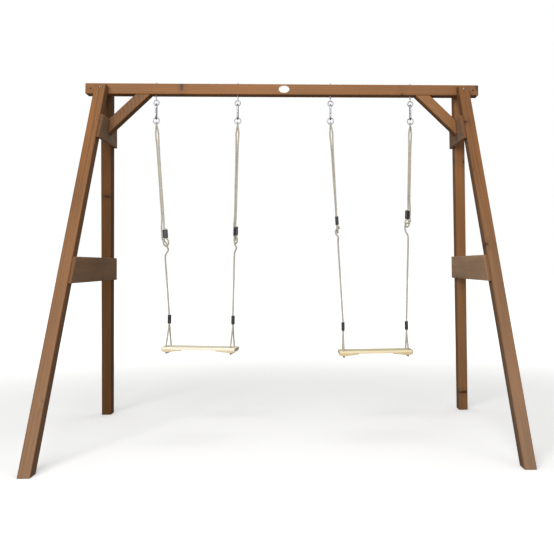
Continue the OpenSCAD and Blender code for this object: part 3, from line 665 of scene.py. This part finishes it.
# A copy of a timber with its long arrises planed round.
def roundedTimber(node, pieceName, material, body, size):
    work = bmesh.new()
    work.from_mesh(nodes[node].data)
    bmesh.ops.remove_doubles(work, verts=work.verts, dist=2e-6)
    bmesh.ops.dissolve_limit(work, angle_limit=math.radians(arris["flat"]),
                             verts=work.verts, edges=work.edges)
    edges = [e for e in work.edges if len(e.link_faces) == 2
             and e.calc_length() > arris[size + "Shortest"]
             and e.calc_face_angle(0) > math.radians(arris["corner"])]
    bmesh.ops.bevel(work, geom=edges, offset=arris[size], segments=3, profile=0.5,
                    affect="EDGES", clamp_overlap=True)
    mesh = bpy.data.meshes.new(pieceName)
    work.to_mesh(mesh)
    work.free()
    thing = bpy.data.objects.new(pieceName, mesh)
    bpy.context.scene.collection.objects.link(thing)
    for polygon in mesh.polygons:
        polygon.use_smooth = True
    mesh.set_sharp_from_angle(angle=math.radians(arris["sharp"]))
    setMaterial(thing, material)
    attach(thing, body)
    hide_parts(node)
    return thing


stained = {  # brown pressure-treated spruce: warm mid brown, grain half hidden by stain
    "early": "#94663c", "late": "#674022", "knot": "#3c2413", "knotRim": "#5c381e",
    "warm": "#a0642f", "warmth": 0.5, "endGrain": "#6e3f1d", "endDark": 0.85,
    "bleached": "#9c8168", "bleach": 0.5, "bleachFrom": 0.1, "bleachTo": 1.5, "grey": 0.0,
    "rubbed": "#53351d", "ring": 0.0075, "ringDepth": 0.62, "wander": 0.030,
    "streak": 0.38, "blotch": 0.44, "fibre": 0.24, "haloDark": 0.16, "shade": 1.0,
    "knotCell": 0.16, "knotTurn": 0.55, "knotShare": 0.34, "knotRadius": 0.013,
    "knotDepth": 0.9, "rub": 0.7, "rough": 0.62, "gloss": 0.32, "bump": 0.4,
}
timbers = {  # the way across the grain, the pith's offset, and this one's tone and brightness, with painted shade on the back-left leg
    "top_beam": {"across": (0, 1, 0), "pith": (0.075, -0.09)},
    "leg_front_left": {"across": (1, 0, 0), "pith": (0.06, 0.11), "shade": 0.84,
                       "bleach": 0.3},
    # Painted shade: the back-left leg is darkened to a little over half, for the weaker light
    # behind the front leg.
    "leg_back_left": {"across": (1, 0, 0), "pith": (-0.09, 0.07), "shade": 0.56,
                      "bleach": 0.0, "warmth": 0.9},
    "leg_front_right": {"across": (1, 0, 0), "pith": (-0.05, 0.10), "shade": 0.78,
                        "bleach": 0.55},
    "leg_back_right": {"across": (1, 0, 0), "pith": (0.08, -0.08), "bleach": 0.2},
    "lower_crossboard_left": {"across": (0, 0, 1), "pith": (0.02, 0.07), "grey": 0.3},
    "lower_crossboard_right": {"across": (0, 0, 1), "pith": (-0.03, 0.06), "grey": 0.6,
                               "shade": 1.5},
    "upper_crossboard_left": {"across": (0, 0, 1), "pith": (0.05, 0.05), "grey": 0.65,
                              "shade": 0.88},
    "upper_crossboard_right": {"across": (0, 0, 1), "pith": (-0.04, 0.08), "grey": 0.5},
    "knee_brace_left": {"across": (0, 1, 0), "pith": (0.07, 0.06), "shade": 0.72,
                        "warmth": 0.9},
    "knee_brace_right": {"across": (0, 1, 0), "pith": (-0.06, 0.08)},
}


def makeFrameTimbers():
    for seed, (node, facts) in enumerate(timbers.items()):
        material = makeTimber(f"stainedSpruce_{node}", {**stained, **facts},
                              timberAxes(node), facts["across"], middle(node),
                              facts["pith"], seed + 1.37)  # each timber's own pattern
        roundedTimber(node, f"timber_{node}", material, "frame", "timber")


makeFrameTimbers()
print("frame timbers planed")

planed = dict(
    stained, early="#f3e6c0", late="#dcc593", knot="#a8743f", knotRim="#c49a60",
    rubbed="#f3e6c0", warmth=0.0, bleach=0.0, endGrain="#d8bf8c", endDark=0.6,
    ring=0.006, ringDepth=0.6, wander=0.02, streak=0.10, blotch=0.10, fibre=0.08,
    haloDark=0.10, knotCell=0.12, knotShare=0.2, knotRadius=0.006,
    rub=0.3, rough=0.52, bump=0.2)
paler = {  # the left seat is drawn paler and a tenth brighter than the right
    "left": {"early": "#f9f1dc", "late": "#eadcb9", "shade": 1.1}, "right": {},
}


def makeSeats():
    # Planed pine boards: pale cream yellow with faint honey streaks.
    for seed, side in enumerate(sides):
        placed, rise = seatFrame(side)
        along = placed.to_3x3() @ Vector((1, 0, 0))
        deep = placed.to_3x3() @ Vector((0, 1, 0))
        looks = {**planed, **paler[side]}
        board = makeTimber(f"planedPine_seat_{side}", looks, along, deep,
                           placed.translation, (0.02, -0.10), 21.4 + seed * 2.3)
        roundedTimber(f"seat_{side}", f"seatBoard_{side}", board, f"{side}_seat",
                      "seat")
        batten = makeTimber(f"planedPine_battens_{side}", looks, deep, along,
                            placed.translation, (0.05, 0.06), 33.1 + seed * 1.9)
        roundedTimber(f"seat_battens_{side}", f"seatBattens_{side}", batten,
                      f"{side}_seat", "batten")


makeSeats()
print("seats made")


# Zinc-plated steel: blue-grey metal, slightly cloudy and dulled by weather, with fine
# handling marks.
def makeZinc():
    looks = {"bright": "#bfc3c9", "dull": "#91969d", "cloud": 0.012, "rough": 0.40}
    material, tree, shader = newMaterial("zincPlatedSteel")
    place = addNode(tree, "ShaderNodeTexCoord").outputs["Object"]
    clouds = addNode(tree, "ShaderNodeTexNoise", {
        "Vector": place, "Scale": 1 / looks["cloud"], "Detail": 4, "Roughness": 0.6})
    marks = addNode(tree, "ShaderNodeTexNoise", {
        "Vector": place, "Scale": 1200, "Detail": 2})
    tone = mixColours(tree, clouds.outputs["Fac"], hexColour(looks["bright"]),
                      hexColour(looks["dull"]))
    rough = addNode(tree, "ShaderNodeMapRange", {
        "Value": clouds.outputs["Fac"], "To Min": looks["rough"] - 0.08,
        "To Max": looks["rough"] + 0.14})
    bump = addNode(tree, "ShaderNodeBump", {
        "Height": marks.outputs["Fac"], "Strength": 0.12, "Distance": 0.0002})
    tree.links.new(tone, shader.inputs["Base Color"])
    tree.links.new(rough.outputs["Result"], shader.inputs["Roughness"])
    tree.links.new(bump.outputs["Normal"], shader.inputs["Normal"])
    shader.inputs["Metallic"].default_value = 1.0
    return material


# Moulded black polyamide: near black, eggshell gloss, fine pebbled skin.
def makeBlackPlastic():
    looks = {"skin": "#242122", "worn": "#3b3738", "grit": 0.0007}
    material, tree, shader = newMaterial("mouldedBlackPolyamide")
    place = addNode(tree, "ShaderNodeTexCoord").outputs["Object"]
    grit = addNode(tree, "ShaderNodeTexNoise", {
        "Vector": place, "Scale": 1 / looks["grit"], "Detail": 2})
    patches = addNode(tree, "ShaderNodeTexNoise", {
        "Vector": place, "Scale": 90, "Detail": 3})
    tone = addRamp(tree, patches.outputs["Fac"], [(0.35, looks["skin"]), (0.75, looks["worn"])])
    rough = addNode(tree, "ShaderNodeMapRange", {
        "Value": patches.outputs["Fac"], "To Min": 0.36, "To Max": 0.58})
    bump = addNode(tree, "ShaderNodeBump", {
        "Height": grit.outputs["Fac"], "Strength": 0.25, "Distance": 0.0003})
    tree.links.new(tone.outputs["Color"], shader.inputs["Base Color"])
    tree.links.new(rough.outputs["Result"], shader.inputs["Roughness"])
    tree.links.new(bump.outputs["Normal"], shader.inputs["Normal"])
    shader.inputs["IOR"].default_value = 1.53
    return material


# Enamelled badge: glossy off-white with a faint orange-peel skin.
def makeEnamel():
    material, tree, shader = newMaterial("offWhiteEnamel")
    place = addNode(tree, "ShaderNodeTexCoord").outputs["Object"]
    peel = addNode(tree, "ShaderNodeTexNoise", {"Vector": place, "Scale": 500, "Detail": 1})
    tone = addRamp(tree, peel.outputs["Fac"], [(0.2, "#f1eee7"), (0.8, "#e4e0d6")])
    bump = addNode(tree, "ShaderNodeBump", {
        "Height": peel.outputs["Fac"], "Strength": 0.08, "Distance": 0.0003})
    tree.links.new(tone.outputs["Color"], shader.inputs["Base Color"])
    tree.links.new(bump.outputs["Normal"], shader.inputs["Normal"])
    shader.inputs["Roughness"].default_value = 0.28
    shader.inputs["Coat Weight"].default_value = 0.4
    shader.inputs["Coat Roughness"].default_value = 0.12
    return material


zinc = makeZinc()
blackPlastic = makeBlackPlastic()
enamel = makeEnamel()


def dressMetal():
    for name, node in nodes.items():
        if name.startswith(("eye_bolt", "snap_", "ring_", "leg_bolt", "leg_nut",
                            "crossboard_screws", "knee_brace_screws", "seat_screws",
                            "badge_pins")):
            setMaterial(node, zinc)
        elif name.startswith(("adjuster_", "rope_clamp_")):
            setMaterial(node, blackPlastic)


dressMetal()


def makeBadge():
    badge = {"rim": 0.0032, "dish": 0.0007, "face": 0.012, "steps": 96}
    low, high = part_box("badge_plate")
    centre = (low + high) / 2
    halfW, halfH = (high.x - low.x) / 2, (high.z - low.z) / 2
    # Profile from the face out over the raised rim to the back:
    # [distance in from the edge, how far behind the front]
    profile = [(badge["face"], badge["dish"]),
               (badge["rim"] + 0.0008, badge["dish"]), (badge["rim"], 0.0001),
               (badge["rim"] * 0.5, 0.0), (0.0008, 0.0002), (0.0001, 0.0009),
               (0.0, high.y - low.y)]
    steps = badge["steps"]
    vertices = [(centre.x, low.y + badge["dish"], centre.z)]
    for inset, behind in profile:
        for k in range(steps):
            a = 2 * math.pi * k / steps
            vertices.append((centre.x + (halfW - inset) * math.cos(a), low.y + behind,
                             centre.z + (halfH - inset) * math.sin(a)))
    faces = [(0, 1 + k, 1 + (k + 1) % steps) for k in range(steps)]
    for ring in range(len(profile) - 1):
        a, b = 1 + ring * steps, 1 + (ring + 1) * steps
        faces += [(a + k, b + k, b + (k + 1) % steps, a + (k + 1) % steps)
                  for k in range(steps)]
    last = 1 + (len(profile) - 1) * steps
    faces.append(tuple(last + k for k in range(steps)))
    thing = addMesh("badge", vertices, faces)
    evenNormals(thing)
    setMaterial(thing, enamel)
    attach(thing, "frame")
    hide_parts("badge_plate")


makeBadge()


# Painted shade of the bolt holes: matt brown-black discs, set a hair proud, one near each end of
# the beam's face.
def makeBoltHoleShades():
    # The dark and light colours paint the shade inside a bolt hole onto a solid disc.
    holeShade = {"radius": 0.006, "fromEnd": 0.032, "proud": 0.0008, "deep": 0.0012,
            "crown": 0.0012, "dark": "#3a2414", "light": "#553820", "mottleScale": 900,
            "rough": 0.7, "steps": 32}
    material, tree, shader = newMaterial("paintedBoltHoleShade")
    place = addNode(tree, "ShaderNodeTexCoord").outputs["Object"]
    grain = addNode(tree, "ShaderNodeTexNoise", {
        "Vector": place, "Scale": holeShade["mottleScale"], "Detail": 3})
    tone = addRamp(tree, grain.outputs["Fac"], [(0.3, holeShade["dark"]), (0.8, holeShade["light"])])
    tree.links.new(tone.outputs["Color"], shader.inputs["Base Color"])
    shader.inputs["Roughness"].default_value = holeShade["rough"]
    low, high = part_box("top_beam")
    level, steps = (low.z + high.z) / 2, holeShade["steps"]
    rings = [(holeShade["radius"], low.y + holeShade["deep"]), (holeShade["radius"], low.y),
             (holeShade["radius"] - holeShade["crown"] * 0.3, low.y - holeShade["proud"] * 0.8),
             (holeShade["radius"] - holeShade["crown"], low.y - holeShade["proud"])]
    for side, x in (("left", low.x + holeShade["fromEnd"]), ("right", high.x - holeShade["fromEnd"])):
        vertices = [(x + r * math.cos(2 * math.pi * k / steps), y,
                     level + r * math.sin(2 * math.pi * k / steps))
                    for r, y in rings for k in range(steps)]
        faces = [(i * steps + k, (i + 1) * steps + k, (i + 1) * steps + (k + 1) % steps,
                  i * steps + (k + 1) % steps)
                 for i in range(len(rings) - 1) for k in range(steps)]
        faces += [tuple(range(steps)),
                  tuple((len(rings) - 1) * steps + k for k in reversed(range(steps)))]
        thing = addMesh(f"beamBoltHoleShade_{side}", vertices, faces)
        evenNormals(thing)
        setMaterial(thing, material)
        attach(thing, "frame")


makeBoltHoleShades()
print("hardware dressed")


def makeStudio():
    studio = {
        "floor": "#f7f7f6", "floorGlow": 0.30, "floorBounce": "#8d8a86", "floorSize": 120,
        "world": "#ffffff", "worldLight": 0.24, "worldSeen": 1.0,
        "key": {"place": (-1.5, -7.0, 3.5), "size": 3.6, "power": 470},
        "fill": {"place": (3.4, -6.4, 2.2), "size": 3.5, "power": 75},
        "top": {"place": (0.2, 0.6, 6.5), "size": 5.0, "power": 90},
    }
    isCamera = "Is Camera Ray"
    material, tree, shader = newMaterial("studioFloor")
    # The floor looks white, and throws less light up than it shows.
    seen = addNode(tree, "ShaderNodeLightPath").outputs[isCamera]
    spot = addNode(tree, "ShaderNodeTexCoord").outputs["Object"]
    reach = addNode(tree, "ShaderNodeVectorMath", {0: spot}, operation="LENGTH")
    fade = addNode(tree, "ShaderNodeMapRange", {
        "Value": reach.outputs["Value"], "From Min": 1.5, "From Max": 7.0,
        "To Min": studio["floorGlow"], "To Max": 1.0}, interpolation_type="SMOOTHSTEP")
    shade = mixColours(tree, seen, hexColour(studio["floorBounce"]),
                       hexColour(studio["floor"]))
    glow = doMath(tree, "MULTIPLY", seen, fade.outputs["Result"])
    tree.links.new(shade, shader.inputs["Base Color"])
    tree.links.new(glow, shader.inputs["Emission Strength"])
    shader.inputs["Emission Color"].default_value = hexColour(studio["floor"])
    shader.inputs["Roughness"].default_value = 0.9
    half = studio["floorSize"] / 2
    floor = addMesh("studioFloor", [(-half, -half, 0), (half, -half, 0), (half, half, 0),
                                    (-half, half, 0)], [(0, 1, 2, 3)], smooth=False)
    setMaterial(floor, material)
    for name in ("key", "fill", "top"):
        facts = studio[name]
        data = bpy.data.lights.new(name, "AREA")
        data.shape = "SQUARE"
        data.size = facts["size"]
        data.energy = facts["power"]
        lamp = bpy.data.objects.new(name, data)
        bpy.context.scene.collection.objects.link(lamp)
        lamp.location = facts["place"]
        aim = Vector((0, 0, 1.0)) - Vector(facts["place"])
        lamp.rotation_euler = aim.to_track_quat("-Z", "Y").to_euler()
    # The backdrop looks white too, and lights the object with less than it shows.
    world = bpy.data.worlds.new("studio")
    bpy.context.scene.world = world
    world.use_nodes = True
    background = world.node_tree.nodes["Background"]
    seen = addNode(world.node_tree, "ShaderNodeLightPath").outputs[isCamera]
    strength = addNode(world.node_tree, "ShaderNodeMapRange", {
        "Value": seen, "To Min": studio["worldLight"], "To Max": studio["worldSeen"]})
    background.inputs["Color"].default_value = hexColour(studio["world"])
    world.node_tree.links.new(strength.outputs["Result"], background.inputs["Strength"])
    bpy.context.scene.view_settings.view_transform = "Standard"  # colours as they are


makeStudio()
print("studio lit")
